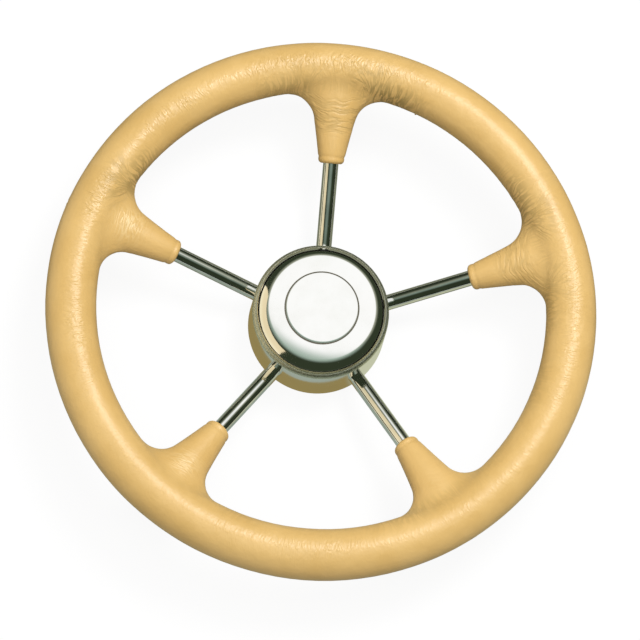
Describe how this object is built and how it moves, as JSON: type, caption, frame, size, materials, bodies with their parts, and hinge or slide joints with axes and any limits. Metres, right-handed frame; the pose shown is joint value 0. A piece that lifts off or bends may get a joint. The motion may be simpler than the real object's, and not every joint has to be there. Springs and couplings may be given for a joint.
{
  "type": "boat steering wheel",
  "caption": "Boat steering wheel: leather-covered rim with flared branches, polished steel rod spokes, drum hub with a taper bore and a lift-off cap.",
  "frame": {"origin": "centre of the hub's back face, where the wheel meets the helm", "axes": "+Z along the wheel's axis towards the driver, +Y along the first spoke"},
  "size_m": [0.35, 0.35, 0.074],
  "materials": {
    "polished_steel": "mirror-polished stainless steel",
    "turned_steel": "turned stainless steel, fine circular tool marks",
    "leather": "smooth tan leather with fine creases, semi-gloss",
    "padding_foam": "moulded integral-skin foam, matt",
    "ring_rubber": "matt rubber"
  },
  "bodies": {
    "wheel": {"hub_shell": "polished_steel", "hub_back_plate": "turned_steel", "hub_boss": "turned_steel", "rim_core": "turned_steel", "spoke_1": "polished_steel", "spoke_2": "polished_steel", "spoke_3": "polished_steel", "spoke_4": "polished_steel", "spoke_5": "polished_steel", "rim_padding": "padding_foam", "leather_cover": "leather"},
    "cap": {"hub_cap": "polished_steel", "cap_disc": "polished_steel", "cap_ring": "ring_rubber"}
  },
  "joints": [
    {"name": "cap_lift", "type": "slide", "parent": "wheel", "child": "cap", "axis": [0, 0, 1], "range_m": [0, 0.05]}
  ]
}
